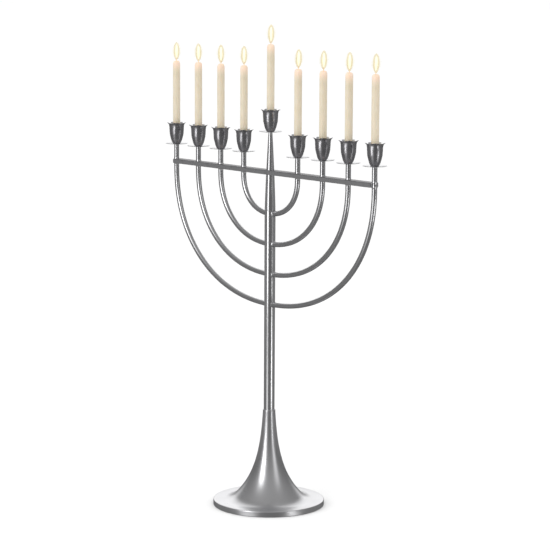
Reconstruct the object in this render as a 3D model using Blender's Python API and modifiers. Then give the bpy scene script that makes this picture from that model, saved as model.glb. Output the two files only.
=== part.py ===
"""Nine-branch floor menorah: a trumpet foot, a pole with eight curved arms under a drilled
crossbar, and nine petalled cups with drip pans, candles and wicks.

Metres, +Z up. The origin is on the floor under the pole, and the branches spread along X.
"""

import math

import bmesh
import bpy
from mathutils import Vector

GAP = 0.0003                    # air left between pieces that touch
SLIP = 0.0004                   # clearance round what is lifted in and out

# Foot: a spun trumpet shell on a wide flat flange, with a weight and a felt pad under it
FOOT_RADIUS = 0.1495
FOOT_HEIGHT = 0.261
NECK_WALL = 0.0018              # metal round the pole at the top of the trumpet
FLARE_RADIUS = 0.104            # where the trumpet meets the flat flange
FLARE_RATE = 3.1                # how fast the trumpet closes in above the flange
FLANGE_TOP = 0.0155
RIM_ROUNDING = 0.003
RIM_LIFT = 0.001                # the metal rim stays clear of the floor
SHELL_WALL = 0.0025
WEB_THICKNESS = 0.008           # inner floor of the neck, which the pole stands on
NECK_SOCKET_DEPTH = 0.030
FELT_THICKNESS = 0.002
WEIGHT_BORE = 0.036

# Bolt that holds the pole down
BOLT_RADIUS = 0.004
BOLT_HEAD_RADIUS = 0.0075
BOLT_HEAD_HEIGHT = 0.0055
BOLT_GRIP = 0.018               # thread inside the pole
WASHER_RADIUS = 0.011
WASHER_THICKNESS = 0.002

# Pole and the tapered spindle above it
POLE_RADIUS = 0.0146
POLE_WALL = 0.0021
POLE_PLUG = 0.026               # solid end of the pole, tapped for the bolt
POLE_ABOVE_ARMS = 0.010         # pole left above the centre of the highest arms
SPINDLE_STEP = 0.0003           # the spindle starts this much inside the pole's surface
SPINDLE_TOP_RADIUS = 0.0052
SPINDLE_TAPER = 1.3             # above 1 narrows slowly at first, then faster
SPINDLE_TENON = 0.028

# Branches: each pair leaves the pole level and rises to pass upright through the crossbar
BAR_CENTRE = 0.901              # height of the crossbar above the floor
BAR_HEIGHT = 0.012
BAR_WEB = 0.0026                # metal left each side of the spindle's hole
BAR_ROUNDING = 0.0012
ARM_PAIRS = 4
ARM_RADIUS = 0.0073
ARM_FIRST_REACH = 0.111         # distance of the inmost stems from the pole
ARM_REACH_STEP = 0.0985
ARM_FIRST_DROP = 0.111          # the inmost arms meet the pole this far under the crossbar
ARM_DROP_STEP = 0.081
ARM_SQUARENESS = 2.17           # 2 would be an ellipse, more is squarer
STRAIGHT_UNDER_BAR = 0.006      # stems are upright from this far under the crossbar
STEM_ABOVE_BAR = 0.0462         # crossbar centre to the seats of the side pans
SHAMASH_RISE = 0.060            # the helper cup stands this much above the side cups

# Stud that each stem and the spindle end in, which holds a pan and a cup
STUD_RADIUS = 0.0040
STUD_IN_CUP = 0.0065

# Drip pan
PAN_RADIUS = 0.0308
PAN_FLAT_RADIUS = 0.019
PAN_THICKNESS = 0.0012
PAN_DISH = 0.0015

# Cup: tulip with five petals on its lip and a candle socket in its floor
CUP_HEIGHT = 0.058
CUP_FOOT_RADIUS = 0.0100
BOWL_RADIUS = 0.0186            # where the rounded bottom of the cup ends
BOWL_HEIGHT = 0.022
BOWL_ROUNDNESS = 0.7            # 1 would be a cone, less is rounder
CUP_BODY_RADIUS = 0.0200        # just under the lip
CUP_LIP_RADIUS = 0.0240
CUP_WALL = 0.0018
LIP_EDGE = 0.0006
LIP_HEIGHT = 0.011              # part of the cup that opens out into petals
LIP_CURL = 0.0025               # how far the last stretch of the lip turns out
LIP_CURL_HEIGHT = 0.0035
CUP_FLOOR = 0.0092
SOCKET_DEPTH = 0.020
SHELF_RISE = 0.004              # cone that guides a candle into the socket
PETALS = 5
PETAL_REACH = 0.0032
PETAL_RISE = 0.0010
PETAL_HEADING = math.radians(-40)

# Candle and wick
CANDLE_RADIUS = 0.0100
CANDLE_LENGTH = 0.220
CANDLE_SHOULDER = 0.006
CANDLE_TIP_RADIUS = 0.0045
WICK_RADIUS = 0.0010
WICK_ABOVE = 0.009
WICK_IN_WAX = 0.012

# Facets
FLARE_STEPS = 10
FLARE_CROWDING = 1.6            # above 1 puts more rings where the trumpet bends most
SPINDLE_STEPS = 8
ARM_STEPS = 12
FOOT_SIDES = 32
POLE_SIDES = 24
CUP_SIDES = 4 * PETALS
PAN_SIDES = 16
CANDLE_SIDES = 16
BORE_SIDES = 32

# Radii and heights that follow from the sizes above
FOOT_NECK_RADIUS = POLE_RADIUS + GAP + NECK_WALL
SPINDLE_BASE_RADIUS = POLE_RADIUS - SPINDLE_STEP
ARM_REACHES = [ARM_FIRST_REACH + i * ARM_REACH_STEP for i in range(ARM_PAIRS)]
ARM_DROPS = [ARM_FIRST_DROP + i * ARM_DROP_STEP for i in range(ARM_PAIRS)]
WEB_TOP = FOOT_HEIGHT - NECK_SOCKET_DEPTH
WEB_BOTTOM = WEB_TOP - WEB_THICKNESS
POLE_BOTTOM = WEB_TOP + GAP
POLE_TOP = BAR_CENTRE - ARM_FIRST_DROP + POLE_ABOVE_ARMS
SIDE_SEAT = BAR_CENTRE + STEM_ABOVE_BAR
SHAMASH_SEAT = SIDE_SEAT + SHAMASH_RISE
CUP_LIFT = GAP + PAN_THICKNESS + GAP
STUD_LENGTH = CUP_LIFT + STUD_IN_CUP


def smooth(mesh, angle=math.radians(35)):
    """Shade a mesh smooth, with its real edges kept sharp."""
    mesh.shade_smooth()
    mesh.set_sharp_from_angle(angle=angle)


def finish(name, colour, roughness, metallic):
    """Make a plain material."""
    material = bpy.data.materials.new(name)
    material.use_nodes = True
    shader = material.node_tree.nodes["Principled BSDF"]
    shader.inputs["Base Color"].default_value = (*colour, 1.0)
    shader.inputs["Roughness"].default_value = roughness
    shader.inputs["Metallic"].default_value = metallic
    return material


def add(name, mesh, material, collection, location=(0, 0, 0), parent=None):
    """Put a mesh in the scene as a named object."""
    piece = bpy.data.objects.new(name, mesh)
    piece.location = location
    piece.parent = parent
    if not mesh.materials:
        mesh.materials.append(material)
    collection.objects.link(piece)
    return piece


def applied(piece):
    """Turn an object with modifiers, or a curve, into a mesh and remove the object."""
    graph = bpy.context.evaluated_depsgraph_get()
    mesh = bpy.data.meshes.new_from_object(piece.evaluated_get(graph))
    bpy.data.objects.remove(piece)
    return mesh


def turned(name, profile, sides, closed=False):
    """Turn a profile of (radius, height) points about Z with a Screw modifier."""
    count = len(profile)
    edges = [(i, i + 1) for i in range(count - 1)]
    if closed:
        edges.append((count - 1, 0))
    mesh = bpy.data.meshes.new(name)
    mesh.from_pydata([(radius, 0, height) for radius, height in profile], edges, [])
    piece = bpy.data.objects.new(name, mesh)
    bpy.context.scene.collection.objects.link(piece)
    screw = piece.modifiers.new("turn", "SCREW")
    screw.steps = sides
    screw.render_steps = sides
    screw.use_merge_vertices = True
    screw.merge_threshold = 0.00001
    body = applied(piece)
    smooth(body)
    return body


def inset(points, distance):
    """Move each point of an outline inwards, square to the line through its neighbours."""
    moved = []
    for index in range(1, len(points) - 1):
        (r0, z0), (r1, z1) = points[index - 1], points[index + 1]
        length = math.hypot(r1 - r0, z1 - z0)
        radius, height = points[index]
        moved.append((radius + distance * (z1 - z0) / length, height - distance * (r1 - r0) / length))
    return moved


def flare_radius(height):
    """Outer radius of the trumpet at a height: it closes in quickly, then hardly at all."""
    share = (height - FLANGE_TOP) / (FOOT_HEIGHT - FLANGE_TOP)
    end = math.exp(-FLARE_RATE)
    openness = (math.exp(-FLARE_RATE * share) - end) / (1 - end)
    return FOOT_NECK_RADIUS + (FLARE_RADIUS - FOOT_NECK_RADIUS) * openness


def foot_mesh():
    """Trumpet shell with a flat flange, and a web across its neck."""
    rise = FOOT_HEIGHT - FLANGE_TOP
    shares = [1 - i / FLARE_STEPS for i in range(FLARE_STEPS + 1)]
    heights = [FLANGE_TOP + rise * share ** FLARE_CROWDING for share in shares]
    flare = [(flare_radius(height), height) for height in heights]
    corner = FOOT_RADIUS - RIM_ROUNDING
    rim = [
        (corner + RIM_ROUNDING * math.sin(turn), FLANGE_TOP - RIM_ROUNDING + RIM_ROUNDING * math.cos(turn))
        for turn in (0, math.pi / 4, math.pi / 2)
    ]
    outside = flare + rim + [(FOOT_RADIUS, RIM_LIFT)]
    inner_corner = FOOT_RADIUS - SHELL_WALL
    underside = FLANGE_TOP - SHELL_WALL
    lining = [point for point in inset(flare, SHELL_WALL) if point[1] < WEB_BOTTOM]
    lining.reverse()
    throat = (flare_radius(WEB_BOTTOM) - SHELL_WALL, WEB_BOTTOM)
    bolt_hole = BOLT_RADIUS + GAP
    socket = POLE_RADIUS + GAP
    inside = [(inner_corner, RIM_LIFT), (inner_corner, underside), (FLARE_RADIUS, underside)]
    inside += lining + [throat, (bolt_hole, WEB_BOTTOM), (bolt_hole, WEB_TOP), (socket, WEB_TOP)]
    inside += [(socket, FOOT_HEIGHT)]
    return turned("foot", outside + inside, FOOT_SIDES, closed=True)


def weight_mesh():
    """Iron ring that fills the flange."""
    rim = FOOT_RADIUS - SHELL_WALL - GAP
    low = FELT_THICKNESS + GAP
    high = FLANGE_TOP - SHELL_WALL - GAP
    profile = [(rim, high), (rim, low), (WEIGHT_BORE, low), (WEIGHT_BORE, high)]
    return turned("weight", profile, FOOT_SIDES, closed=True)


def felt_mesh():
    """Disc of felt that the menorah stands on."""
    radius = FOOT_RADIUS - SHELL_WALL - GAP
    profile = [(0, FELT_THICKNESS), (radius, FELT_THICKNESS), (radius, 0), (0, 0)]
    return turned("felt", profile, FOOT_SIDES)


def washer_mesh():
    """Flat washer under the web of the foot."""
    hole = BOLT_RADIUS + GAP
    high = WEB_BOTTOM - GAP
    low = high - WASHER_THICKNESS
    profile = [(WASHER_RADIUS, high), (WASHER_RADIUS, low), (hole, low), (hole, high)]
    return turned("washer", profile, POLE_SIDES, closed=True)


def cylinder(name, radius, low, high, sides, centre=(0, 0), top_radius=None):
    """Upright cylinder or cone between two heights."""
    mesh = bpy.data.meshes.new(name)
    shape = bmesh.new()
    bmesh.ops.create_cone(
        shape,
        cap_ends=True,
        segments=sides,
        radius1=radius,
        radius2=radius if top_radius is None else top_radius,
        depth=high - low,
    )
    bmesh.ops.translate(shape, vec=Vector((*centre, (low + high) / 2)), verts=shape.verts)
    shape.to_mesh(mesh)
    shape.free()
    return mesh


def combined(mesh, tools, operation):
    """Cut tools from a mesh, or join them to it, with exact Booleans."""
    piece = bpy.data.objects.new("blank", mesh)
    bpy.context.scene.collection.objects.link(piece)
    for tool in tools:
        boolean = piece.modifiers.new("boolean", "BOOLEAN")
        boolean.operation = operation
        boolean.object = tool
    result = applied(piece)
    smooth(result)
    return result


def cutter(mesh, cutters):
    """Keep a mesh as a hidden Boolean tool."""
    tool = bpy.data.objects.new("cut_" + mesh.name, mesh)
    tool.hide_render = True
    tool.display_type = "WIRE"
    cutters.objects.link(tool)
    return tool


def bolt_mesh(cutters):
    """Hexagon bolt that comes up through the web into the pole."""
    under_head = WEB_BOTTOM - GAP - WASHER_THICKNESS - GAP
    head = cylinder("bolt_head", BOLT_HEAD_RADIUS, under_head - BOLT_HEAD_HEIGHT, under_head, 6)
    overlap = BOLT_HEAD_HEIGHT / 2
    shank = cylinder("bolt_shank", BOLT_RADIUS, under_head - overlap, POLE_BOTTOM + BOLT_GRIP, 16)
    return combined(head, [cutter(shank, cutters)], "UNION")


def pole_mesh():
    """Tube with a tapped plug in its lower end."""
    bore = POLE_RADIUS - POLE_WALL
    tapped = BOLT_RADIUS + GAP
    plug_top = POLE_BOTTOM + POLE_PLUG
    tapped_top = POLE_BOTTOM + BOLT_GRIP + 2 * GAP
    profile = [
        (0, plug_top),
        (bore, plug_top),
        (bore, POLE_TOP),
        (POLE_RADIUS, POLE_TOP),
        (POLE_RADIUS, POLE_BOTTOM),
        (tapped, POLE_BOTTOM),
        (tapped, tapped_top),
        (0, tapped_top),
    ]
    return turned("pole", profile, POLE_SIDES)


def spindle_radius(height):
    """Radius of the tapered spindle at a height."""
    share = (height - POLE_TOP) / (SHAMASH_SEAT - POLE_TOP)
    return SPINDLE_BASE_RADIUS - (SPINDLE_BASE_RADIUS - SPINDLE_TOP_RADIUS) * share ** SPINDLE_TAPER


def spindle_mesh():
    """Tapered spindle with a tenon in the pole and a stud for the helper cup."""
    foot = POLE_TOP + GAP
    tenon = POLE_RADIUS - POLE_WALL - GAP
    shares = [i / SPINDLE_STEPS for i in range(SPINDLE_STEPS + 1)]
    heights = [SHAMASH_SEAT + (foot - SHAMASH_SEAT) * share for share in shares]
    profile = [(0, SHAMASH_SEAT + STUD_LENGTH), (STUD_RADIUS, SHAMASH_SEAT + STUD_LENGTH)]
    profile += [(STUD_RADIUS, SHAMASH_SEAT)]
    profile += [(spindle_radius(height), height) for height in heights]
    profile += [(tenon, foot), (tenon, POLE_TOP - SPINDLE_TENON), (0, POLE_TOP - SPINDLE_TENON)]
    return turned("spindle", profile, POLE_SIDES)


def crossbar_mesh(cutters):
    """Flat bar drilled for the inner stems and the spindle, and notched round the outer stems."""
    reach = ARM_REACHES[-1]
    depth = 2 * (spindle_radius(BAR_CENTRE - BAR_HEIGHT / 2) + SLIP + BAR_WEB)
    shape = bmesh.new()
    bmesh.ops.create_cube(shape, size=1.0)
    bmesh.ops.scale(shape, vec=(2 * reach, depth, BAR_HEIGHT), verts=shape.verts)
    bmesh.ops.translate(shape, vec=(0, 0, BAR_CENTRE), verts=shape.verts)
    bmesh.ops.bevel(shape, geom=shape.edges[:], offset=BAR_ROUNDING, segments=1, affect="EDGES")
    mesh = bpy.data.meshes.new("crossbar")
    shape.to_mesh(mesh)
    shape.free()
    low = BAR_CENTRE - BAR_HEIGHT
    high = BAR_CENTRE + BAR_HEIGHT
    hole = ARM_RADIUS + GAP
    tools = [
        cylinder("stem", hole, low, high, BORE_SIDES, (side * distance, 0))
        for distance in ARM_REACHES
        for side in (-1, 1)
    ]
    tools.append(
        cylinder(
            "spindle",
            spindle_radius(low) + SLIP,
            low,
            high,
            BORE_SIDES,
            top_radius=spindle_radius(high) + SLIP,
        )
    )
    return combined(mesh, [cutter(tool, cutters) for tool in tools], "DIFFERENCE")


def arm_centreline(reach, drop):
    """Centreline from inside the pole to the top of the stem, with a share of the tube's radius."""
    power = 2 / ARM_SQUARENESS
    arc_top = BAR_CENTRE - BAR_HEIGHT / 2 - STRAIGHT_UNDER_BAR
    arc_height = arc_top - (BAR_CENTRE - drop)
    start = math.acos((POLE_RADIUS / 2 / reach) ** (1 / power))
    points = []
    for index in range(ARM_STEPS + 1):
        turn = start * (1 - index / ARM_STEPS)
        height = arc_top - arc_height * math.sin(turn) ** power
        points.append((reach * math.cos(turn) ** power, height, 1.0))
    stud = STUD_RADIUS / ARM_RADIUS
    points.append((reach, SIDE_SEAT, 1.0))
    points.append((reach, SIDE_SEAT + GAP / 3, stud))
    points.append((reach, SIDE_SEAT + STUD_LENGTH, stud))
    return points


def arm_mesh(side, reach, drop, pole_cutter):
    """Bent tube whose lower end is shaped to the pole and whose upper end is a stud."""
    points = arm_centreline(reach, drop)
    curve = bpy.data.curves.new("arm", "CURVE")
    curve.dimensions = "3D"
    curve.bevel_depth = ARM_RADIUS
    curve.bevel_resolution = 3
    curve.use_fill_caps = True
    spline = curve.splines.new("POLY")
    spline.points.add(len(points) - 1)
    for knot, (distance, height, share) in zip(spline.points, points):
        knot.co = (side * distance, 0, height, 1)
        knot.radius = share
    guide = bpy.data.objects.new("arm", curve)
    bpy.context.scene.collection.objects.link(guide)
    mesh = applied(guide)
    shape = bmesh.new()
    shape.from_mesh(mesh)
    bmesh.ops.remove_doubles(shape, verts=shape.verts, dist=0.00001)
    shape.to_mesh(mesh)
    shape.free()
    return combined(mesh, [pole_cutter], "DIFFERENCE")


def pan_mesh():
    """Shallow dish that sits between the stem's shoulder and the cup; its seat is at height 0."""
    hole = STUD_RADIUS + GAP
    profile = [
        (hole, PAN_THICKNESS),
        (PAN_FLAT_RADIUS, PAN_THICKNESS),
        (PAN_RADIUS - PAN_THICKNESS / 2, PAN_THICKNESS + PAN_DISH),
        (PAN_RADIUS, PAN_THICKNESS / 2 + PAN_DISH),
        (PAN_FLAT_RADIUS, 0),
        (hole, 0),
    ]
    return turned("pan", profile, PAN_SIDES, closed=True)


def petal_lip(mesh):
    """Draw the lip of a turned cup out into petals that rise and reach out together."""
    start = CUP_HEIGHT - LIP_HEIGHT
    for vertex in mesh.vertices:
        share = max(0.0, (vertex.co.z - start) / LIP_HEIGHT) ** 2
        heading = math.atan2(vertex.co.y, vertex.co.x)
        wave = share * math.cos(PETALS * (heading - PETAL_HEADING))
        outwards = Vector((math.cos(heading), math.sin(heading), 0))
        vertex.co += outwards * PETAL_REACH * wave
        vertex.co.z += PETAL_RISE * wave


def bowl_point(share):
    """Point of the cup's rounded bottom at a share of the bowl's height."""
    spread = BOWL_RADIUS - CUP_FOOT_RADIUS
    return (CUP_FOOT_RADIUS + spread * share ** BOWL_ROUNDNESS, BOWL_HEIGHT * share)


def cup_mesh():
    """Tulip cup with a socket for the candle and a hole for the stud; its foot is at height 0."""
    socket = CANDLE_RADIUS + SLIP
    hole = STUD_RADIUS + GAP
    hole_top = STUD_IN_CUP + GAP
    shelf = CUP_FLOOR + SOCKET_DEPTH
    lip = CUP_HEIGHT - LIP_HEIGHT
    curl = CUP_HEIGHT - LIP_CURL_HEIGHT
    inside = [
        (0, CUP_FLOOR),
        (socket, CUP_FLOOR),
        (socket, shelf),
        (BOWL_RADIUS - CUP_WALL, shelf + SHELF_RISE),
        (CUP_BODY_RADIUS - CUP_WALL, lip),
        (CUP_LIP_RADIUS - LIP_CURL - LIP_EDGE, curl + LIP_EDGE),
        (CUP_LIP_RADIUS - LIP_EDGE, CUP_HEIGHT),
    ]
    outside = [
        (CUP_LIP_RADIUS, CUP_HEIGHT - LIP_EDGE),
        (CUP_LIP_RADIUS - LIP_CURL, curl - LIP_EDGE),
        (CUP_BODY_RADIUS, lip),
    ]
    outside += [bowl_point(share) for share in (1, 0.5, 0.15, 0)]
    bottom = [(hole, 0), (hole, hole_top), (0, hole_top)]
    mesh = turned("cup", inside + outside + bottom, CUP_SIDES)
    petal_lip(mesh)
    return mesh


def candle_mesh():
    """Straight candle with a tapered tip and a hole for its wick; its foot is at height 0."""
    hole = WICK_RADIUS + GAP
    profile = [
        (0, CANDLE_LENGTH - WICK_IN_WAX - GAP),
        (hole, CANDLE_LENGTH - WICK_IN_WAX - GAP),
        (hole, CANDLE_LENGTH),
        (CANDLE_TIP_RADIUS, CANDLE_LENGTH),
        (CANDLE_RADIUS, CANDLE_LENGTH - CANDLE_SHOULDER),
        (CANDLE_RADIUS, 0),
        (0, 0),
    ]
    return turned("candle", profile, CANDLE_SIDES)


def wick_mesh():
    """Cotton wick, placed from the candle's foot."""
    return cylinder("wick", WICK_RADIUS, CANDLE_LENGTH - WICK_IN_WAX, CANDLE_LENGTH + WICK_ABOVE, 8)


def lights():
    """Name, distance along X and pan seat of each of the nine lights, from left to right."""
    left = [(str(ARM_PAIRS - i), -ARM_REACHES[i], SIDE_SEAT) for i in reversed(range(ARM_PAIRS))]
    right = [(str(ARM_PAIRS + 1 + i), ARM_REACHES[i], SIDE_SEAT) for i in range(ARM_PAIRS)]
    return left + [("shamash", 0.0, SHAMASH_SEAT)] + right


def add_stand(parts, cutters, metal, hidden):
    """Foot, pole, spindle, crossbar and arms."""
    add("foot", foot_mesh(), metal, parts)
    add("foot_weight", weight_mesh(), hidden["iron"], parts)
    add("felt_pad", felt_mesh(), hidden["felt"], parts)
    add("foot_bolt", bolt_mesh(cutters), hidden["zinc"], parts)
    add("foot_washer", washer_mesh(), hidden["zinc"], parts)
    add("pole", pole_mesh(), metal, parts)
    add("spindle", spindle_mesh(), metal, parts)
    add("crossbar", crossbar_mesh(cutters), metal, parts)
    lowest = BAR_CENTRE - ARM_DROPS[-1] - 2 * ARM_RADIUS
    pole_room = cylinder("pole", POLE_RADIUS + GAP, lowest, POLE_TOP, 2 * BORE_SIDES)
    pole_cutter = cutter(pole_room, cutters)
    for side, word in ((-1, "left"), (1, "right")):
        for index, (reach, drop) in enumerate(zip(ARM_REACHES, ARM_DROPS), start=1):
            add(f"arm_{word}_{index}", arm_mesh(side, reach, drop, pole_cutter), metal, parts)


def add_lights(parts, silver, pewter, wax, cotton):
    """A pan, a cup, a candle and a wick on each stud."""
    pan, cup, candle, wick = pan_mesh(), cup_mesh(), candle_mesh(), wick_mesh()
    for name, distance, seat in lights():
        add(f"pan_{name}", pan, silver, parts, (distance, 0, seat + GAP))
        add(f"cup_{name}", cup, pewter, parts, (distance, 0, seat + CUP_LIFT))
        axis = bpy.data.objects.new(f"candle_axis_{name}", None)
        axis.location = (distance, 0, seat + CUP_LIFT + CUP_FLOOR + GAP)
        parts.objects.link(axis)
        add(f"candle_{name}", candle, wax, parts, parent=axis)
        add(f"wick_{name}", wick, cotton, parts, parent=axis)


def main():
    """Build the menorah."""
    for old in list(bpy.data.objects):
        bpy.data.objects.remove(old)
    parts = bpy.data.collections.new("menorah")
    cutters = bpy.data.collections.new("cutters")
    for collection in (parts, cutters):
        bpy.context.scene.collection.children.link(collection)
    silver = finish("satin_silver_plate", (0.55, 0.55, 0.56), 0.32, 1.0)
    pewter = finish("dark_pewter", (0.20, 0.20, 0.205), 0.30, 1.0)
    wax = finish("ivory_wax", (0.86, 0.78, 0.62), 0.45, 0.0)
    cotton = finish("cotton_wick", (0.06, 0.05, 0.04), 0.95, 0.0)
    hidden = {
        "iron": finish("cast_iron", (0.09, 0.09, 0.09), 0.75, 1.0),
        "felt": finish("black_felt", (0.02, 0.02, 0.02), 1.0, 0.0),
        "zinc": finish("zinc_plate", (0.6, 0.6, 0.58), 0.4, 1.0),
    }
    add_stand(parts, cutters, silver, hidden)
    add_lights(parts, silver, pewter, wax, cotton)


main()
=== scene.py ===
"""Looks of a nine-branch floor menorah: satin silver plate, burnished pewter cups, lit ivory candles.

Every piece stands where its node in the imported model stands. All lengths are in metres.
"""

import logging
import math
from dataclasses import dataclass, field
from enum import Enum
from typing import Any, Callable, Sequence

import bmesh
import bpy
from mathutils import Euler, Matrix, Vector, noise


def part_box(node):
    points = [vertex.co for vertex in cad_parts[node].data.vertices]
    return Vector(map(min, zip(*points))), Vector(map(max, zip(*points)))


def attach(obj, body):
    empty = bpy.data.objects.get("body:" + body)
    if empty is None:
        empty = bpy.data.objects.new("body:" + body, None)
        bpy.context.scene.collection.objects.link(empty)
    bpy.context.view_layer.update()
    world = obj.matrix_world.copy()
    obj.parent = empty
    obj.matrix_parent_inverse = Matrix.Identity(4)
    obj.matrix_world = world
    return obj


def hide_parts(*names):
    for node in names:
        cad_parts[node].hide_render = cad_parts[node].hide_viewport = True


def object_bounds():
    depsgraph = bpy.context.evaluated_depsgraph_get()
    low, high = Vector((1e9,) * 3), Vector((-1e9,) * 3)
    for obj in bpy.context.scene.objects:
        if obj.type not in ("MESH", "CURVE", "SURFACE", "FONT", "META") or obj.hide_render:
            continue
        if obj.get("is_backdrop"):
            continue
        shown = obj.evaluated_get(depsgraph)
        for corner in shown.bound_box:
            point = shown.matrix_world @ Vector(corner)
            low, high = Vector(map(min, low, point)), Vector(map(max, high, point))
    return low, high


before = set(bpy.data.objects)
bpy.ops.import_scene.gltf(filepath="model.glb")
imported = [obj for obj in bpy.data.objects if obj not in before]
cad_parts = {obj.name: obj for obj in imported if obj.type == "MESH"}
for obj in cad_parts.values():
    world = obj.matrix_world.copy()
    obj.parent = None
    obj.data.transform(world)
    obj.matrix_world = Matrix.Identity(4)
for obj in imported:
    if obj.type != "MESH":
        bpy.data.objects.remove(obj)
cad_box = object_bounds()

log = logging.getLogger("menorah")

MM = 0.001
GRAIN = "grain"                 # point attribute: two coordinates across the metal's grain, one along it
STAND = "stand"                 # body of everything but the candles
GAP = 0.3 * MM                  # room between two pieces that fit together
SHARP = math.radians(40)        # edges that turn more than this stay sharp
STEM_RADIUS = 7.3 * MM
CANDLE_LENGTH = 220 * MM

Point = tuple[float, float]
Warp = Callable[[Vector], Vector]

# Sockets of the colour Mix node, whose names are shared by several of its sockets
MIX_FACTOR, MIX_A, MIX_B, MIX_COLOUR = 0, 6, 7, 2


def linear(code: str, gain: float = 1.0) -> tuple[float, float, float, float]:
    """Turn an sRGB hex colour to linear light.

    Args:
        code: colour such as "#c0c0c4".
        gain: factor on the light, for glowing things.

    Returns:
        Linear red, green, blue and an alpha of 1.
    """
    shares = [int(code[i:i + 2], 16) / 255 for i in (1, 3, 5)]
    light = [s / 12.92 if s <= 0.04045 else ((s + 0.055) / 1.055) ** 2.4 for s in shares]
    return (*(gain * value for value in light), 1.0)


def add_node(
    tree: bpy.types.NodeTree,
    kind: str,
    settings: dict[str | int, Any] | None = None,
    links: dict[str | int, bpy.types.NodeSocket] | None = None,
) -> bpy.types.Node:
    """Add one shader node, set it and wire it.

    Args:
        tree: node tree that gets the node.
        kind: type name without its "ShaderNode" start.
        settings: values by input name, input number or property; "stops" holds a ramp's stops.
        links: output sockets that feed the node, by input name or number.

    Returns:
        The new node.
    """
    node = tree.nodes.new("ShaderNode" + kind)
    for key, value in (settings or {}).items():
        if key == "stops":
            ramp = node.color_ramp.elements
            while len(ramp) < len(value):
                ramp.new(0.5)
            for stop, (position, colour) in zip(ramp, value):
                stop.position = position
                stop.color = colour
        elif isinstance(key, int) or key in node.inputs:
            node.inputs[key].default_value = value
        else:
            setattr(node, key, value)
    for key, source in (links or {}).items():
        tree.links.new(source, node.inputs[key])
    return node


# ---------------------------------------------------------------- finishes


class Finish:
    """Look of one real material, built once and shared by its pieces."""

    name: str                   # what the material is and how it was made

    def material(self) -> bpy.types.Material:
        """Build the material, or return the one built before."""
        material = bpy.data.materials.get(self.name)
        if not material:
            material = bpy.data.materials.new(self.name)
            material.use_nodes = True
            tree = material.node_tree
            self.paint(tree, tree.nodes["Principled BSDF"])
        return material

    def paint(self, tree: bpy.types.NodeTree, shader: bpy.types.Node) -> None:
        """Wire the material.

        Args:
            tree: its node tree.
            shader: its Principled shader.
        """
        raise NotImplementedError(self.name)


class Grain(Enum):
    """Which way the polishing lines of a metal piece run."""

    ALONG = "along"
    AROUND = "around"


@dataclass(frozen=True)
class PlatedMetal(Finish):
    """Metal plate over steel, rubbed to a satin with fine abrasive and then handled for years.

    The rubbing leaves short parallel lines, so highlights are soft and slightly streaked. Handling
    leaves clouds of duller metal, and rubs edges and weld beads bright.
    """

    name: str
    bright: str                 # colour of clean plate
    dull: str                   # colour of the tarnished clouds
    roughness: float
    grain: Grain = Grain.ALONG
    line_pitch: float = 1.6 * MM    # real lines are 0.05 mm apart, too fine to show, so drawn coarser
    line_length: float = 90 * MM
    line_depth: float = 0.003 * MM
    cloud_size: float = 60 * MM
    dulling: float = 0.25       # share of the dull colour in the darkest clouds
    streaking: float = 0.04     # change of roughness from line to line

    def paint(self, tree: bpy.types.NodeTree, shader: bpy.types.Node) -> None:
        """Wire the material."""
        across, along = 1 / self.line_pitch, 1 / self.line_length
        if self.grain is Grain.ALONG:
            scale = (across, across, along)
        else:
            scale = (along, along, across)
        place = add_node(tree, "Attribute", {"attribute_name": GRAIN})
        drawn = add_node(
            tree, "VectorMath", {"operation": "MULTIPLY", 1: scale}, {0: place.outputs["Vector"]}
        )
        lines = add_node(
            tree,
            "TexNoise",
            {"Scale": 1.0, "Detail": 3.0, "Roughness": 0.6},
            {"Vector": drawn.outputs["Vector"]},
        )
        spot = add_node(tree, "TexCoord")
        clouds = add_node(
            tree,
            "TexNoise",
            {"Scale": 1 / self.cloud_size, "Detail": 4.0, "Roughness": 0.55, "Distortion": 0.4},
            {"Vector": spot.outputs["Object"]},
        )
        tarnish = add_node(
            tree,
            "MapRange",
            {"From Min": 0.42, "From Max": 0.72, "To Min": 0.0, "To Max": self.dulling},
            {"Value": clouds.outputs["Fac"]},
        )
        edges = add_node(tree, "NewGeometry")
        wear = add_node(
            tree,
            "MapRange",
            {"From Min": 0.53, "From Max": 0.62, "To Min": 0.0, "To Max": 0.6},
            {"Value": edges.outputs["Pointiness"]},
        )
        kept = add_node(
            tree,
            "Math",
            {"operation": "SUBTRACT", "use_clamp": True},
            {0: tarnish.outputs["Result"], 1: wear.outputs["Result"]},
        )
        colour = add_node(
            tree,
            "Mix",
            {"data_type": "RGBA", MIX_A: linear(self.bright), MIX_B: linear(self.dull)},
            {MIX_FACTOR: kept.outputs["Value"]},
        )
        streak = add_node(
            tree,
            "MapRange",
            {
                "From Min": 0.3,
                "From Max": 0.7,
                "To Min": self.roughness - self.streaking / 2,
                "To Max": self.roughness + self.streaking / 2,
            },
            {"Value": lines.outputs["Fac"]},
        )
        satin = add_node(
            tree,
            "Math",
            {"operation": "MULTIPLY_ADD", 1: 0.12},
            {0: tarnish.outputs["Result"], 2: streak.outputs["Result"]},
        )
        bump = add_node(
            tree,
            "Bump",
            {"Strength": 0.5, "Distance": self.line_depth},
            {"Height": lines.outputs["Fac"]},
        )
        shader.inputs["Metallic"].default_value = 1.0
        tree.links.new(colour.outputs[MIX_COLOUR], shader.inputs["Base Color"])
        tree.links.new(satin.outputs["Value"], shader.inputs["Roughness"])
        tree.links.new(bump.outputs["Normal"], shader.inputs["Normal"])


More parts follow.
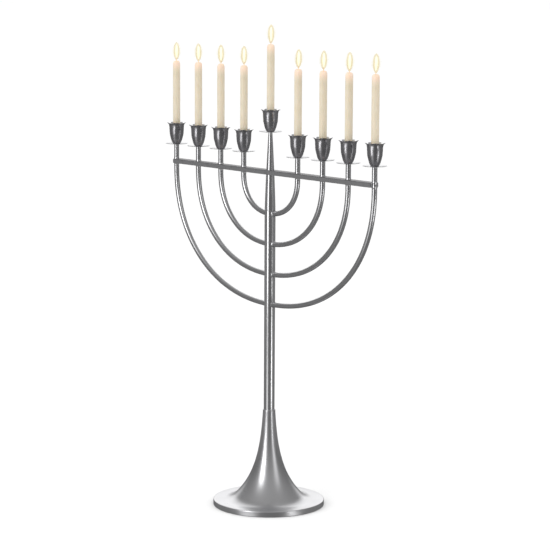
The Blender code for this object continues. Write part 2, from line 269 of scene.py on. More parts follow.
@dataclass(frozen=True)
class CandleWax(Finish):
    """Ivory paraffin wax, dipped in layers.

    Light enters the wax and comes out warmer, so the shade side stays soft. Dipping leaves faint
    rings and a waxy sheen; towards the top the colour turns peach, a painted glow of the flame.
    """

    name: str = "paraffin_wax_dipped_ivory"
    ivory: str = "#d5cab5"
    shade: str = "#d0c4ad"
    # peach of the painted glow of the flame on the wax's top
    warm: str = "#f2d8c3"
    length: float = CANDLE_LENGTH
    glow_length: float = 33 * MM
    mottle_size: float = 28 * MM
    ring_pitch: float = 9 * MM

    def paint(self, tree: bpy.types.NodeTree, shader: bpy.types.Node) -> None:
        """Wire the material."""
        place = add_node(tree, "Attribute", {"attribute_name": GRAIN})
        parts = add_node(tree, "SeparateXYZ", {}, {0: place.outputs["Vector"]})
        mottle = add_node(
            tree,
            "TexNoise",
            {"Scale": 1 / self.mottle_size, "Detail": 3.0},
            {"Vector": place.outputs["Vector"]},
        )
        body = add_node(
            tree,
            "ValToRGB",
            {"stops": ((0.3, linear(self.shade)), (0.6, linear(self.ivory)))},
            {"Fac": mottle.outputs["Fac"]},
        )
        # Peach towards the top, under the flame: painted glow of the flame's light
        painted_glow = add_node(
            tree,
            "MapRange",
            {
                "interpolation_type": "SMOOTHSTEP",
                "From Min": self.length - self.glow_length,
                "From Max": self.length,
                "To Min": 0.0,
                "To Max": 0.9,
            },
            {"Value": parts.outputs["Z"]},
        )
        colour = add_node(
            tree,
            "Mix",
            {"data_type": "RGBA", MIX_B: linear(self.warm)},
            {MIX_FACTOR: painted_glow.outputs["Result"], MIX_A: body.outputs["Color"]},
        )
        squeezed = add_node(
            tree,
            "VectorMath",
            {"operation": "MULTIPLY", 1: (20.0, 20.0, 1 / self.ring_pitch)},
            {0: place.outputs["Vector"]},
        )
        rings = add_node(
            tree, "TexNoise", {"Scale": 1.0, "Detail": 2.0}, {"Vector": squeezed.outputs["Vector"]}
        )
        bump = add_node(
            tree, "Bump", {"Strength": 0.3, "Distance": 0.05 * MM}, {"Height": rings.outputs["Fac"]}
        )
        sheen = add_node(
            tree,
            "MapRange",
            {"From Min": 0.3, "From Max": 0.7, "To Min": 0.38, "To Max": 0.50},
            {"Value": mottle.outputs["Fac"]},
        )
        shader.inputs["IOR"].default_value = 1.44
        shader.inputs["Subsurface Weight"].default_value = 0.35
        shader.inputs["Subsurface Radius"].default_value = (1.0, 0.75, 0.5)
        shader.inputs["Subsurface Scale"].default_value = 2.5 * MM
        tree.links.new(colour.outputs[MIX_COLOUR], shader.inputs["Base Color"])
        tree.links.new(sheen.outputs["Result"], shader.inputs["Roughness"])
        tree.links.new(bump.outputs["Normal"], shader.inputs["Normal"])


@dataclass(frozen=True)
class WickCotton(Finish):
    """Braided cotton, waxed, with a scorched and glowing end inside the flame."""

    name: str = "cotton_braided_waxed"
    fresh: str = "#d8b88a"
    scorched: str = "#7a4a28"
    base: float = CANDLE_LENGTH         # height of the wax's top above the candle's foot
    reach: float = 8 * MM
    braid_pitch: float = 1.1 * MM

    def paint(self, tree: bpy.types.NodeTree, shader: bpy.types.Node) -> None:
        """Wire the material."""
        place = add_node(tree, "Attribute", {"attribute_name": GRAIN})
        parts = add_node(tree, "SeparateXYZ", {}, {0: place.outputs["Vector"]})
        burn = add_node(
            tree,
            "MapRange",
            {"From Min": self.base, "From Max": self.base + self.reach},
            {"Value": parts.outputs["Z"]},
        )
        braid = add_node(
            tree,
            "TexVoronoi",
            {"Scale": 1 / self.braid_pitch},
            {"Vector": place.outputs["Vector"]},
        )
        colour = add_node(
            tree,
            "ValToRGB",
            {"stops": ((0.1, linear(self.fresh)), (0.95, linear(self.scorched)))},
            {"Fac": burn.outputs["Result"]},
        )
        bump = add_node(
            tree, "Bump", {"Strength": 0.7, "Distance": 0.2 * MM}, {"Height": braid.outputs["Distance"]}
        )
        shader.inputs["Roughness"].default_value = 0.85
        shader.inputs["Emission Color"].default_value = linear("#ffb765")
        shader.inputs["Emission Strength"].default_value = 0.35
        tree.links.new(colour.outputs["Color"], shader.inputs["Base Color"])
        tree.links.new(bump.outputs["Normal"], shader.inputs["Normal"])


@dataclass(frozen=True)
class FlameGas(Finish):
    """Burning gas of a candle flame: it shines, and what is behind it shows through.

    The glow is faint light round it, the veil is thin golden gas, seen as a golden outline, and the
    core is white-hot soot.
    """

    name: str
    foot: str                   # colour at the wick
    middle: str
    tip: str
    strength: float
    opacity: float
    height: float

    def paint(self, tree: bpy.types.NodeTree, shader: bpy.types.Node) -> None:
        """Wire the material."""
        place = add_node(tree, "Attribute", {"attribute_name": GRAIN})
        parts = add_node(tree, "SeparateXYZ", {}, {0: place.outputs["Vector"]})
        flicker = add_node(
            tree, "TexNoise", {"Scale": 1 / (7 * MM), "Detail": 1.0}, {"Vector": place.outputs["Vector"]}
        )
        wavering = add_node(
            tree,
            "Math",
            {"operation": "MULTIPLY_ADD", 1: 0.16 * self.height},
            {0: flicker.outputs["Fac"], 2: parts.outputs["Z"]},
        )
        share = add_node(
            tree, "MapRange", {"From Min": 0.0, "From Max": 1.16 * self.height}, {0: wavering.outputs[0]}
        )
        colour = add_node(
            tree,
            "ValToRGB",
            {"stops": ((0.05, linear(self.foot)), (0.35, linear(self.middle)), (0.95, linear(self.tip)))},
            {"Fac": share.outputs["Result"]},
        )
        shader.inputs["Base Color"].default_value = linear("#000000")
        shader.inputs["Specular IOR Level"].default_value = 0.0
        shader.inputs["Roughness"].default_value = 1.0
        shader.inputs["Emission Strength"].default_value = self.strength
        shader.inputs["Alpha"].default_value = self.opacity
        tree.links.new(colour.outputs["Color"], shader.inputs["Emission Color"])


@dataclass(frozen=True)
class RoughFinish(Finish):
    """Dull grained surface: sand-cast iron, pressed felt, or seamless studio paper.

    A fine grit in the colour, the roughness and the relief keeps it from looking like plastic.
    """

    name: str
    low: str
    high: str
    roughness: float
    grit: float                 # size of the grit
    relief: float               # height of the grit
    metallic: float = 0.0

    def paint(self, tree: bpy.types.NodeTree, shader: bpy.types.Node) -> None:
        """Wire the material."""
        spot = add_node(tree, "TexCoord")
        grit = add_node(
            tree,
            "TexNoise",
            {"Scale": 1 / self.grit, "Detail": 5.0, "Roughness": 0.65},
            {"Vector": spot.outputs["Object"]},
        )
        colour = add_node(
            tree,
            "ValToRGB",
            {"stops": ((0.35, linear(self.low)), (0.65, linear(self.high)))},
            {"Fac": grit.outputs["Fac"]},
        )
        bump = add_node(
            tree, "Bump", {"Strength": 0.8, "Distance": self.relief}, {"Height": grit.outputs["Fac"]}
        )
        shader.inputs["Roughness"].default_value = self.roughness
        shader.inputs["Metallic"].default_value = self.metallic
        tree.links.new(colour.outputs["Color"], shader.inputs["Base Color"])
        tree.links.new(bump.outputs["Normal"], shader.inputs["Normal"])


# Silver plate on steel, rubbed lengthwise on tubes and bars: grey-white, soft streaked highlights
SILVER_TUBE = PlatedMetal("silver_plate_satin_rubbed", "#dadadc", "#b5b4b3", 0.19)
# The same plate on spun pieces, rubbed on the lathe: rings run round the axis
SILVER_SPUN = PlatedMetal(
    "silver_plate_satin_spun", "#d8d8da", "#b8b7b6", 0.29, Grain.AROUND, cloud_size=90 * MM
)
# Silver plate on the flat bar, brushed by hand: long uneven strokes and cloudy patches
SILVER_BAR = PlatedMetal(
    "silver_plate_brushed_flat",
    "#d6d6d8",
    "#8c8b8b",
    0.27,
    line_pitch=2.4 * MM,
    line_depth=0.006 * MM,
    cloud_size=34 * MM,
    dulling=0.75,
    streaking=0.08,
)
# The bar's upward face, painted darker and less of a mirror than its sides: painted shade on the top
SILVER_BAR_PAINTED_SHADE_TOP = PlatedMetal(
    "silver_plate_top_painted_shade", "#7c7b7d", "#5c5b5b", 0.42, line_pitch=2.4 * MM, cloud_size=34 * MM
)
# Silver plate inside the cups, brighter and glossier than the pewter outside: a painted highlight for the
# bright glints round the candle
SILVER_LINING_PAINTED_HIGHLIGHT = PlatedMetal(
    "silver_plate_lining_painted_highlight", "#eeeef0", "#d0cfcc", 0.16, Grain.AROUND, cloud_size=18 * MM
)
# Pewter darkened with acid and burnished: gunmetal grey, a harder and glossier highlight
PEWTER = PlatedMetal(
    "pewter_darkened_burnished",
    "#b2b1b4",
    "#858488",
    0.25,
    Grain.AROUND,
    line_pitch=1.2 * MM,
    cloud_size=22 * MM,
    dulling=0.45,
)
# Zinc plate on rolled steel fasteners: pale, slightly yellow, glossier than the stand
ZINC = RoughFinish("zinc_plate_rolled", "#b3b2ac", "#c4c3bd", 0.34, 2 * MM, 0.02 * MM, 1.0)
WAX = CandleWax()
COTTON = WickCotton()
IRON = RoughFinish("cast_iron_sand_cast", "#232323", "#3a3938", 0.8, 1.5 * MM, 0.3 * MM, 1.0)
FELT = RoughFinish("wool_felt_pressed", "#0b0b0c", "#1d1d1f", 1.0, 0.8 * MM, 0.4 * MM)
PAPER = RoughFinish("seamless_paper_matt_white", "#f6f6f6", "#f8f8f8", 1.0, 8 * MM, 0.02 * MM)


# ---------------------------------------------------------------- shapes


@dataclass
class Section:
    """Half section of a turned piece, drawn corner by corner as (radius, height)."""

    corners: list[tuple[float, float, float]] = field(default_factory=list)
    arc_steps: int = 5

    def to(self, radius: float, height: float, rounding: float = 0.0) -> "Section":
        """Add a corner.

        Args:
            radius: distance from the axis.
            height: height above the piece's own zero.
            rounding: radius of the arc that rounds the corner.

        Returns:
            The section itself, so that calls can be chained.
        """
        self.corners.append((radius, height, rounding))
        return self

    def along(self, points: Sequence[Point]) -> "Section":
        """Add the points of a curve as they are."""
        self.corners += [(radius, height, 0.0) for radius, height in points]
        return self

    def points(self) -> list[Point]:
        """Return the outline with its rounded corners drawn as arcs."""
        drawn: list[Point] = []
        count = len(self.corners)
        for index, (radius, height, rounding) in enumerate(self.corners):
            if rounding <= 0:
                drawn.append((radius, height))
                continue
            corner = Vector((radius, height))
            before = Vector(self.corners[index - 1][:2]) - corner
            after = Vector(self.corners[(index + 1) % count][:2]) - corner
            half = before.angle(after) / 2
            reach = min(rounding / math.tan(half), 0.49 * before.length, 0.49 * after.length)
            start = corner + before.normalized() * reach
            end = corner + after.normalized() * reach
            for step in range(self.arc_steps + 1):
                share = step / self.arc_steps
                spot = (1 - share) ** 2 * start + 2 * share * (1 - share) * corner + share**2 * end
                drawn.append((spot.x, spot.y))
        return drawn


@dataclass
class Skin:
    """Rings of points that become one mesh, with a grain coordinate on every point."""

    points: list[Vector] = field(default_factory=list)
    grain: list[Vector] = field(default_factory=list)
    rings: list[list[int]] = field(default_factory=list)

    def ring(self, points: Sequence[Vector], grain: Sequence[Vector]) -> None:
        """Add a ring; a ring of one point is a tip.

        Args:
            points: places of the ring's points, going round.
            grain: the grain coordinate of each point.
        """
        first = len(self.points)
        self.points += points
        self.grain += grain
        self.rings.append(list(range(first, first + len(points))))

    def mesh(self, name: str, joined: bool = False) -> bpy.types.Mesh:
        """Join the rings with faces.

        Args:
            name: name of the mesh.
            joined: also join the last ring to the first.

        Returns:
            A closed mesh, smooth but for its sharp edges.
        """
        faces: list[list[int]] = []
        pairs = list(zip(self.rings, self.rings[1:]))
        if joined:
            pairs.append((self.rings[-1], self.rings[0]))
        for low, high in pairs:
            for side in range(max(len(low), len(high))):
                after = (side + 1) % max(len(low), len(high))
                face = [low[side % len(low)], low[after % len(low)]]
                face += [high[after % len(high)], high[side % len(high)]]
                faces.append(list(dict.fromkeys(face)))
        mesh = bpy.data.meshes.new(name)
        mesh.from_pydata([tuple(point) for point in self.points], [], faces)
        attribute = mesh.attributes.new(GRAIN, "FLOAT_VECTOR", "POINT")
        attribute.data.foreach_set("vector", [value for vector in self.grain for value in vector])
        shape = bmesh.new()
        shape.from_mesh(mesh)
        bmesh.ops.recalc_face_normals(shape, faces=shape.faces)
        shape.to_mesh(mesh)
        shape.free()
        mesh.shade_smooth()
        mesh.set_sharp_from_angle(angle=SHARP)
        return mesh


def turned(
    name: str,
    section: Section,
    sides: int,
    base: Vector,
    joined: bool = False,
    first_angle: float = 0.0,
    warp: Warp | None = None,
) -> bpy.types.Mesh:
    """Turn a section about the vertical.

    Args:
        name: name of the mesh.
        section: half section; a point on the axis becomes a tip.
        sides: points in each ring.
        base: place of the section's zero.
        joined: the section is a closed loop that doesn't touch the axis.
        first_angle: heading of the first point of each ring.
        warp: moves each point after it is turned, before it is put on the base.

    Returns:
        The turned mesh.
    """
    skin = Skin()
    length = 0.0
    last: Point | None = None
    for radius, height in section.points():
        if last:
            length += math.hypot(radius - last[0], height - last[1])
        last = (radius, height)
        angles = [first_angle + 2 * math.pi * side / sides for side in range(sides)]
        if radius < 1e-7:
            angles = angles[:1]
        ring = [Vector((radius * math.cos(a), radius * math.sin(a), height)) for a in angles]
        grain = [Vector((point.x, point.y, length)) for point in ring]
        if warp:
            ring = [warp(point) for point in ring]
        skin.ring([base + point for point in ring], grain)
    return skin.mesh(name, joined)


def swept(
    name: str,
    path: Sequence[Vector],
    radius_at: Callable[[float, float], float],
    sides: int,
    across: Vector,
    fit: Callable[[Vector, int], Vector] | None = None,
) -> bpy.types.Mesh:
    """Sweep a round section along a path that lies in one plane.

    Args:
        name: name of the mesh.
        path: points of the centreline.
        radius_at: radius at a length along the path and an angle round it.
        sides: points in each ring.
        across: unit vector square to the path's plane.
        fit: moves a point of a ring, given the ring's number.

    Returns:
        The swept mesh, closed at both ends.
    """
    skin = Skin()
    length = 0.0
    for index, centre in enumerate(path):
        before, after = path[max(index - 1, 0)], path[min(index + 1, len(path) - 1)]
        if index:
            length += (centre - path[index - 1]).length
        normal = (after - before).normalized().cross(across)
        ring, grain = [], []
        for side in range(sides):
            angle = 2 * math.pi * side / sides
            radius = radius_at(length, angle)
            offset = radius * (math.cos(angle) * across + math.sin(angle) * normal)
            point = centre + offset
            ring.append(fit(point, index) if fit else point)
            grain.append(Vector((radius * math.cos(angle), radius * math.sin(angle), length)))
        if index == 0:
            skin.ring([sum(ring, Vector()) / sides], [Vector()])
        skin.ring(ring, grain)
    skin.ring([sum(ring, Vector()) / sides], [Vector((0, 0, length))])
    return skin.mesh(name)


def place(
    name: str,
    mesh: bpy.types.Mesh,
    finish: Finish,
    node: str | None,
    body: str = STAND,
    slot: str | None = None,
) -> bpy.types.Object:
    """Put a finished mesh in the scene in the place of a node.

    Args:
        name: name of the piece.
        mesh: its mesh, where it belongs.
        finish: finish that dresses it.
        node: node that the piece stands for, if any.
        body: body that it rides on.
        slot: not used.

    Returns:
        The new object.
    """
    piece = bpy.data.objects.new(name, mesh)
    mesh.materials.append(finish.material())
    bpy.context.scene.collection.objects.link(piece)
    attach(piece, body)
    if node:
        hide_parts(node)
    log.info("%s: %d faces in %s", name, len(mesh.polygons), finish.name)
    return piece


def span(node: str) -> tuple[Vector, Vector]:
    """Return the lowest and highest corner of a node."""
    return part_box(node)


def bead(distance: float, width: float, height: float) -> float:
    """Height of a weld bead's cross-section at a distance from its middle."""
    return height * math.exp(-((distance / width) ** 2))


def ripple(angle: float, seed: float, depth: float) -> float:
    """Uneven edge of a hand-laid weld, going round a tube."""
    spot = Vector((math.cos(angle) * 2, math.sin(angle) * 2, seed))
    return depth * noise.noise(spot)


# ---------------------------------------------------------------- the stand


@dataclass
class Foot:
    """Trumpet foot spun from sheet, with the parts hidden under it."""

    wall: float = 2.5 * MM
    flange_height: float = 15.5 * MM
    flare_radius: float = 104 * MM
    flare_rate: float = 3.1
    blend: float = 17 * MM      # soft bend between the trumpet and the flange
    rim_rounding: float = 2.6 * MM
    neck_wall: float = 1.8 * MM
    web_drop: float = 38 * MM   # underside of the neck's inner floor, below the neck's top
    rings: int = 56
    sides: int = 160

    def radius_at(self, height: float, neck: float, top: float) -> float:
        """Radius of the trumpet.

        Args:
            height: height above the floor.
            neck: radius at the top.
            top: height of the top.

        Returns:
            Outer radius of the trumpet at that height.
        """
        share = (height - self.flange_height) / (top - self.flange_height)
        end = math.exp(-self.flare_rate)
        openness = (math.exp(-self.flare_rate * share) - end) / (1 - end)
        return neck + (self.flare_radius - neck) * openness

    def flare(self, neck: float, top: float) -> list[Point]:
        """Points of the trumpet's outside, top to bottom, ending in a soft bend."""
        rise = top - self.flange_height
        shares = [1 - index / self.rings for index in range(self.rings + 1)]
        heights = [self.flange_height + rise * share**1.7 for share in shares]
        points = [(self.radius_at(height, neck, top), height) for height in heights]
        bend = self.blend
        kept = [p for p in points if p[1] > self.flange_height + 0.62 * bend]
        start, corner = Vector(kept[-1]), Vector((self.flare_radius, self.flange_height))
        end = corner + Vector((bend, 0))
        for step in range(1, 11):
            share = step / 10
            spot = (1 - share) ** 2 * start + 2 * share * (1 - share) * corner + share**2 * end
            kept.append((spot.x, spot.y))
        return kept

    def build(self) -> None:
        """Make the foot and what it hides."""
        low, high = span("foot")
        pole_low, pole_high = span("pole")
        bore = (pole_high.x - pole_low.x) / 2 + 0.2 * MM
        rim, top = high.x, high.z
        neck = bore + self.neck_wall
        web = top - self.web_drop
        inner = self.flare(neck - self.wall, top)
        lining = [p for p in reversed(inner) if p[1] < web - 2 * MM and p[0] < self.flare_radius]
        section = Section()
        section.to(bore, top, 0.4 * MM).to(neck, top, 0.7 * MM)
        section.along(self.flare(neck, top)[1:])
        section.to(rim, self.flange_height, self.rim_rounding).to(rim, low.z, 0.5 * MM)
        section.to(rim - self.wall, low.z).to(rim - self.wall, self.flange_height - self.wall)
        section.along([(radius, height - self.wall) for radius, height in lining])
        section.to(neck - self.wall, web).to(bore - 9 * MM, web).to(bore - 9 * MM, pole_low.z - GAP)
        section.to(bore, pole_low.z - GAP)
        mesh = turned("foot", section, self.sides, Vector(), joined=True)
        place("foot_spun_shell", mesh, SILVER_SPUN, "foot", slot="satin_silver")
        hidden = {"foot_weight": IRON, "felt_pad": FELT, "foot_bolt": ZINC, "foot_washer": ZINC}
        for node, finish in hidden.items():
            self.dress(node, finish)

    def dress(self, node: str, finish: Finish) -> None:
        """Give a carried-over node its finish."""
        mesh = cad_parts[node].data
        mesh.materials.clear()
        mesh.materials.append(finish.material())
        log.info("%s: kept, in %s", node, finish.name)


@dataclass
class Pole:
    """Drawn tube from the foot to the branches, and the tapered spindle above it."""

    wall: float = 2.1 * MM
    edge: float = 0.8 * MM
    step: float = 0.3 * MM      # the spindle starts this much inside the pole
    taper: float = 1.3          # above 1 narrows slowly at first, then faster
    spindle_top: float = 5.2 * MM
    rings: int = 40
    sides: int = 96

    def build(self) -> None:
        """Make the pole and the spindle."""
        low, high = span("pole")
        radius = high.x
        section = Section()
        section.to(0, high.z - 4 * MM).to(radius - self.wall, high.z - 4 * MM)
        section.to(radius - self.wall, high.z).to(radius, high.z, self.edge)
        section.to(radius, low.z, self.edge).to(0, low.z)
        mesh = turned("pole", section, self.sides, Vector())
        place("pole_drawn_tube", mesh, SILVER_TUBE, "pole", slot="satin_silver")
        self.build_spindle(radius, high.z)

    def spindle_radius(self, height: float) -> float:
        """Radius of the spindle at a height above the floor."""
        radius, foot = span("pole")[1].x, span("pole")[1].z
        seat = span("pan_shamash")[0].z - GAP
        share = (height - foot) / (seat - foot)
        base = radius - self.step
        return base - (base - self.spindle_top) * max(share, 0.0) ** self.taper

    def build_spindle(self, radius: float, foot: float) -> None:
        """Make the spindle.

        Args:
            radius: radius of the pole.
            foot: height of the pole's top.
        """
        low, high = span("spindle")
        seat = span("pan_shamash")[0].z - GAP
        tenon = radius - self.wall - GAP
        section = Section()
        section.to(0, high.z).to(4 * MM, high.z).to(4 * MM, seat).to(self.spindle_top, seat, 0.4 * MM)
        heights = [seat + (foot - seat) * index / self.rings for index in range(1, self.rings)]
        section.along([(self.spindle_radius(height), height) for height in heights])
        section.to(radius - self.step, foot + GAP, 0.5 * MM).to(tenon, foot + GAP)
        section.to(tenon, low.z).to(0, low.z)
        mesh = turned("spindle", section, self.sides, Vector())
        place("spindle_turned_taper", mesh, SILVER_TUBE, "spindle", slot="satin_silver")


@dataclass
class Crossbar:
    """Flat bar, drilled for the stems and the spindle."""

    rounding: float = 1.3 * MM
    clearance: float = GAP
    overshoot: float = 6 * MM   # how far the drill goes past the bar
    sides: int = 64
    upward: float = 0.5         # faces whose normal rises more than this are the bar's top

    def build(self, stems: Sequence[float], stem_radius: float) -> None:
        """Make the bar.

        Args:
            stems: distances of the stems along X.
            stem_radius: radius of a stem.
        """
        low, high = span("crossbar")
        shape = bmesh.new()
        bmesh.ops.create_cube(shape, size=1.0)
        bmesh.ops.scale(shape, vec=high - low, verts=shape.verts)
        bmesh.ops.translate(shape, vec=(low + high) / 2, verts=shape.verts)
        bmesh.ops.bevel(shape, geom=shape.edges[:], offset=self.rounding, segments=4, affect="EDGES")
        slices = 60
        for index in range(1, slices):
            spot = low.x + (high.x - low.x) * index / slices
            geometry = shape.verts[:] + shape.edges[:] + shape.faces[:]
            bmesh.ops.bisect_plane(shape, geom=geometry, plane_co=(spot, 0, 0), plane_no=(1, 0, 0))
        mesh = bpy.data.meshes.new("crossbar")
        shape.to_mesh(mesh)
        shape.free()
        bar = bpy.data.objects.new("crossbar_blank", mesh)
        bpy.context.scene.collection.objects.link(bar)
        bottom, top = low.z - self.overshoot, high.z + self.overshoot
        drills = [self.drill(spot, (stem_radius, bottom), (stem_radius, top)) for spot in stems]
        taper = Pole().spindle_radius
        drills.append(self.drill(0.0, (taper(bottom), bottom), (taper(top), top)))
        for tool in drills:
            cut = bar.modifiers.new("drill", "BOOLEAN")
            cut.operation = "DIFFERENCE"
            cut.object = tool
        graph = bpy.context.evaluated_depsgraph_get()
        drilled = bpy.data.meshes.new_from_object(bar.evaluated_get(graph))
        for tool in [bar, *drills]:
            bpy.data.objects.remove(tool)
        attribute = drilled.attributes.new(GRAIN, "FLOAT_VECTOR", "POINT")
        for value, vertex in zip(attribute.data, drilled.vertices):
            value.vector = (vertex.co.y, vertex.co.z, vertex.co.x)
        drilled.shade_smooth()
        drilled.set_sharp_from_angle(angle=SHARP)
        place("crossbar_flat_bar", drilled, SILVER_BAR, "crossbar", slot="satin_silver")
        # The upward faces take the darker copy of the plate: painted shade on the bar's top
        drilled.materials.append(SILVER_BAR_PAINTED_SHADE_TOP.material())
        for face in drilled.polygons:
            if face.normal.z > self.upward:
                face.material_index = 1

    def drill(self, spot: float, bottom: Point, top: Point) -> bpy.types.Object:
        """Make a hidden cylinder or cone that cuts one hole.

        Args:
            spot: distance of the hole along X.
            bottom: radius of what passes through at the drill's lower end, and that end's height.
            top: the same at its upper end.

        Returns:
            The cutter.
        """
        section = Section()
        section.to(0, top[1]).to(top[0] + self.clearance, top[1])
        section.to(bottom[0] + self.clearance, bottom[1]).to(0, bottom[1])
        mesh = turned("drill", section, self.sides, Vector((spot, 0, 0)))
        tool = bpy.data.objects.new("drill", mesh)
        bpy.context.scene.collection.objects.link(tool)
        return tool


@dataclass
class Branches:
    """Eight bent tubes, welded to the pole and the crossbar."""

    squareness: float = 2.17    # 2 would be an ellipse, more is squarer
    straight: float = 6 * MM    # upright stretch under the crossbar
    bead_width: float = 2.2 * MM
    bead_height: float = 1.5 * MM
    arc_steps: int = 90
    sides: int = 40

    def path(self, reach: float, junction: float, seat: float) -> list[Vector]:
        """Centreline of a branch on the +X side.

        Args:
            reach: distance of the stem from the pole.
            junction: height at which the branch leaves the pole.
            seat: height of the stem's top.

        Returns:
            Points from the pole's surface to the stem's top.
        """
        pole_radius = span("pole")[1].x
        bar_low, bar_high = span("crossbar")
        arc_top = bar_low.z - self.straight
        power = 2 / self.squareness
        start = math.acos((pole_radius / reach) ** (1 / power))
        points = []
        for index in range(self.arc_steps + 1):
            turn = start * (1 - index / self.arc_steps)
            height = arc_top - (arc_top - junction) * math.sin(turn) ** power
            points.append(Vector((reach * math.cos(turn) ** power, 0, height)))
        points[0].x = pole_radius
        steps = 40
        points += [
            Vector((reach, 0, arc_top + (seat - arc_top) * i / steps)) for i in range(1, steps + 1)
        ]
        return points

    def build(self) -> list[float]:
        """Make the branches.

        Returns:
            The distances of the eight stems along X.
        """
        stems = []
        for word, side in (("left", -1), ("right", 1)):
            for index in range(1, 5):
                node = f"arm_{word}_{index}"
                light = str(5 - index if side < 0 else 4 + index)
                stems.append(self.build_one(node, side, light))
        return stems

    def build_one(self, node: str, side: int, light: str) -> float:
        """Make one branch.

        Args:
            node: node that it stands for.
            side: -1 on the left, 1 on the right.
            light: name of the pan and cup on its stem.

        Returns:
            Distance of its stem along X.
        """
        low, high = span(node)
        pan_low, pan_high = span(f"pan_{light}")
        reach = abs(pan_low.x + pan_high.x) / 2
        radius = max(abs(low.x), abs(high.x)) - reach
        seat = pan_low.z - GAP
        path = self.path(reach, low.z + radius, seat)
        lengths = [0.0]
        for before, after in zip(path, path[1:]):
            lengths.append(lengths[-1] + (after - before).length)
        total = lengths[-1]
        bar_low, bar_high = span("crossbar")
        under = total - (seat - bar_low.z)
        over = total - (seat - bar_high.z)
        seed = 3.7 * reach * 100 + side
        pole_radius = span("pole")[1].x

        def radius_at(length: float, angle: float) -> float:
            """Radius of the tube with its welds and rounded top."""
            size = radius
            size += bead(length, self.bead_width, self.bead_height) * (1 + ripple(angle, seed, 0.5))
            for weld in (under, over):
                size += bead(length - weld, 1.4 * MM, 0.9 * MM) * (1 + ripple(angle, seed + weld, 0.5))
            left = total - length
            if left < 1.2 * MM:
                size -= 0.8 * MM * (1 - left / (1.2 * MM)) ** 2
            return size

        def fit(point: Vector, ring: int) -> Vector:
            """Shape the end of the tube to the round pole, and mirror the left branches."""
            moved = point.copy()
            if ring == 0:
                moved.x = math.sqrt(max(pole_radius**2 - point.y**2, 0.0)) - 0.3 * MM
            elif ring < 8:
                moved.x = max(moved.x, math.sqrt(max(pole_radius**2 - point.y**2, 0.0)))
            moved.x *= side
            return moved

        fine = [point for index, point in enumerate(path) if index]
        start = [Vector((path[0].x + (path[1].x - path[0].x) * i / 5, 0, path[0].z)) for i in range(5)]
        path = start + fine
        mesh = swept(node, path, radius_at, self.sides, Vector((0, 1, 0)), fit)
        place(f"{node}_bent_tube", mesh, SILVER_TUBE, node, slot="satin_silver")
        return side * reach


# ---------------------------------------------------------------- the lights


